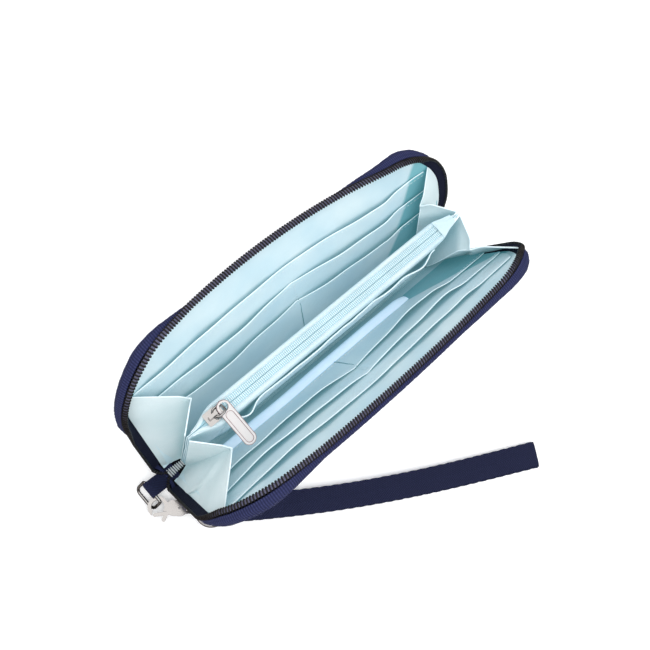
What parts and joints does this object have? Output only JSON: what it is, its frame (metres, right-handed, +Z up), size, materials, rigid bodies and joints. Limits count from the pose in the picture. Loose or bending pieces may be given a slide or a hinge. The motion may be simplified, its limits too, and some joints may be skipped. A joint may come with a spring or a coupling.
{
  "type": "wristlet wallet",
  "caption": "Long zip-around wallet standing open on its spine, with folding end gussets, a zipped coin pocket, card slots and a clip-on wrist strap.",
  "frame": {"origin": "centre of the spine on the surface the wallet stands on", "axes": "+X along the wallet away from the strap end, +Y towards the front panel, +Z up"},
  "size_m": [0.2419, 0.1815, 0.1032],
  "materials": {
    "cover_fabric": "matte woven",
    "board": "matte",
    "lining_fabric": "satin nylon",
    "coin_tape": "ribbed",
    "coin_coil": "satin",
    "navy_webbing": "grosgrain",
    "navy_tape": "herringbone",
    "black_coil": "satin",
    "silver_hardware": "polished"
  },
  "bodies": {
    "core": {"spine_cover": "cover_fabric", "spine_lining": "lining_fabric", "coin_pocket_front_wall": "lining_fabric", "coin_pocket_back_wall": "lining_fabric", "coin_slip_pocket": "lining_fabric", "coin_zip_tape_front": "coin_tape", "coin_zip_tape_back": "coin_tape", "coin_zip_coil_front": "coin_coil", "coin_zip_coil_back": "coin_coil", "coin_zip_end_tab": "lining_fabric", "main_zip_near_chain": "black_coil", "main_zip_far_chain": "black_coil", "strap_tab": "navy_webbing"},
    "front_panel": {"front_cover": "cover_fabric", "front_board": "board", "front_lining": "lining_fabric", "front_bill_pocket": "lining_fabric", "front_upper_card_slots": "lining_fabric", "front_lower_card_slots": "lining_fabric", "front_edge_band": "navy_webbing", "front_zip_tape": "navy_tape", "front_zip_coil": "black_coil"},
    "back_panel": {"back_cover": "cover_fabric", "back_board": "board", "back_lining": "lining_fabric", "back_bill_pocket": "lining_fabric", "back_upper_card_slots": "lining_fabric", "back_lower_card_slots": "lining_fabric", "back_edge_band": "navy_webbing", "back_zip_tape": "navy_tape", "back_zip_coil": "black_coil"},
    "front_far_outer_leaf": {"front_far_gusset_outer_leaf": "lining_fabric"},
    "front_far_inner_leaf": {"front_far_gusset_inner_leaf": "lining_fabric"},
    "front_near_outer_leaf": {"front_near_gusset_outer_leaf": "lining_fabric"},
    "front_near_inner_leaf": {"front_near_gusset_inner_leaf": "lining_fabric"},
    "back_far_outer_leaf": {"back_far_gusset_outer_leaf": "lining_fabric"},
    "back_far_inner_leaf": {"back_far_gusset_inner_leaf": "lining_fabric"},
    "back_near_outer_leaf": {"back_near_gusset_outer_leaf": "lining_fabric"},
    "back_near_inner_leaf": {"back_near_gusset_inner_leaf": "lining_fabric"},
    "coin_slider": {"coin_slider": "silver_hardware"},
    "coin_pull_link": {"coin_pull_link": "silver_hardware"},
    "coin_pull": {"coin_pull_plate": "silver_hardware"},
    "zip_slider": {"zip_slider": "silver_hardware"},
    "zip_pull": {"zip_pull": "silver_hardware"},
    "strap_ring": {"strap_ring": "silver_hardware"},
    "clasp": {"clasp_hook": "silver_hardware", "clasp_rivet": "silver_hardware"},
    "clasp_gate": {"clasp_gate": "silver_hardware"},
    "clasp_eye": {"clasp_eye": "silver_hardware"},
    "wrist_strap": {"wrist_strap": "navy_webbing"}
  },
  "joints": [
    {"name": "front_panel_hinge", "type": "hinge", "parent": "core", "child": "front_panel", "pos_m": [0, 0.006, 0.002], "axis": [-1, 0, 0], "range_deg": [-10, 0]},
    {"name": "back_panel_hinge", "type": "hinge", "parent": "core", "child": "back_panel", "pos_m": [0, -0.006, 0.002], "axis": [1, 0, 0], "range_deg": [-16, 0]},
    {"name": "front_far_gusset_outer", "type": "hinge", "parent": "front_panel", "child": "front_far_outer_leaf", "pos_m": [0.098, 0.00391, 0.00717], "axis": [-0.0576, 0.2597, 0.964], "range_deg": [-27.77, 1]},
    {"name": "front_far_gusset_inner", "type": "hinge", "parent": "core", "child": "front_far_inner_leaf", "pos_m": [0.0903, 0.0016, 0.0045], "axis": [-0.045, -0.0013, 0.999], "range_deg": [-1, 15.19]},
    {"name": "front_near_gusset_outer", "type": "hinge", "parent": "front_panel", "child": "front_near_outer_leaf", "pos_m": [-0.098, 0.00391, 0.00717], "axis": [0.0576, 0.2597, 0.964], "range_deg": [-1, 27.77]},
    {"name": "front_near_gusset_inner", "type": "hinge", "parent": "core", "child": "front_near_inner_leaf", "pos_m": [-0.0903, 0.0016, 0.0045], "axis": [0.045, -0.0013, 0.999], "range_deg": [-15.19, 1]},
    {"name": "back_far_gusset_outer", "type": "hinge", "parent": "back_panel", "child": "back_far_outer_leaf", "pos_m": [0.098, -0.00448, 0.00737], "axis": [-0.0556, -0.3521, 0.9343], "range_deg": [-1, 34.92]},
    {"name": "back_far_gusset_inner", "type": "hinge", "parent": "core", "child": "back_far_inner_leaf", "pos_m": [0.0903, -0.0016, 0.0045], "axis": [-0.045, 0.0013, 0.999], "range_deg": [-31.22, 1]},
    {"name": "back_near_gusset_outer", "type": "hinge", "parent": "back_panel", "child": "back_near_outer_leaf", "pos_m": [-0.098, -0.00448, 0.00737], "axis": [0.0556, -0.3521, 0.9343], "range_deg": [-34.92, 1]},
    {"name": "back_near_gusset_inner", "type": "hinge", "parent": "core", "child": "back_near_inner_leaf", "pos_m": [-0.0903, -0.0016, 0.0045], "axis": [0.045, 0.0013, 0.999], "range_deg": [-1, 31.22]},
    {"name": "coin_slider_slide", "type": "slide", "parent": "core", "child": "coin_slider", "axis": [1, 0, 0], "range_m": [0, 0.132]},
    {"name": "coin_pull_link_swing", "type": "hinge", "parent": "coin_slider", "child": "coin_pull_link", "pos_m": [-0.0717, 0, 0.085], "axis": [0, -1, 0], "range_deg": [0, 30]},
    {"name": "coin_pull_turn", "type": "hinge", "parent": "coin_pull_link", "child": "coin_pull", "pos_m": [-0.0664, 0, 0.085], "axis": [0, -0.4226, 0.9063], "range_deg": [-1, 82]},
    {"name": "zip_slider_slide", "type": "slide", "parent": "core", "child": "zip_slider", "axis": [1, 0, 0], "range_m": [0, 0.004]},
    {"name": "zip_pull_swing", "type": "hinge", "parent": "zip_slider", "child": "zip_pull", "pos_m": [0.1114, 0, 0.0026], "axis": [0, -1, 0], "range_deg": [0, 80]},
    {"name": "strap_ring_swing", "type": "hinge", "parent": "core", "child": "strap_ring", "pos_m": [-0.1118, -0.002, 0.0071], "axis": [0, -1, 0], "range_deg": [0, 28]},
    {"name": "clasp_swing", "type": "hinge", "parent": "strap_ring", "child": "clasp", "pos_m": [-0.11507, -0.0088, 0.0032], "axis": [0, 0, 1], "range_deg": [-25, 8]},
    {"name": "clasp_gate_swing", "type": "hinge", "parent": "clasp", "child": "clasp_gate", "pos_m": [-0.10659, -0.01728, 0.0032], "axis": [0, 0, -1], "range_deg": [0, 8]},
    {"name": "clasp_swivel", "type": "hinge", "parent": "clasp", "child": "clasp_eye", "pos_m": [-0.09471, -0.02916, 0.0032], "axis": [0.7071, -0.7071, 0], "continuous": true},
    {"name": "wrist_strap_swing", "type": "hinge", "parent": "clasp_eye", "child": "wrist_strap", "pos_m": [-0.09471, -0.02916, 0.0032], "axis": [0, 0, 1], "range_deg": [-75, 8]}
  ],
  "couplings": [
    {"joint": "front_far_gusset_outer", "follows": "front_panel_hinge", "ratio": 2.6765},
    {"joint": "front_far_gusset_inner", "follows": "front_panel_hinge", "ratio": -1.4191},
    {"joint": "front_near_gusset_outer", "follows": "front_panel_hinge", "ratio": -2.6765},
    {"joint": "front_near_gusset_inner", "follows": "front_panel_hinge", "ratio": 1.4191},
    {"joint": "back_far_gusset_outer", "follows": "back_panel_hinge", "ratio": -2.1199},
    {"joint": "back_far_gusset_inner", "follows": "back_panel_hinge", "ratio": 1.8888},
    {"joint": "back_near_gusset_outer", "follows": "back_panel_hinge", "ratio": 2.1199},
    {"joint": "back_near_gusset_inner", "follows": "back_panel_hinge", "ratio": -1.8888},
    {"joint": "coin_pull_turn", "follows": "back_panel_hinge", "ratio": -5}
  ]
}
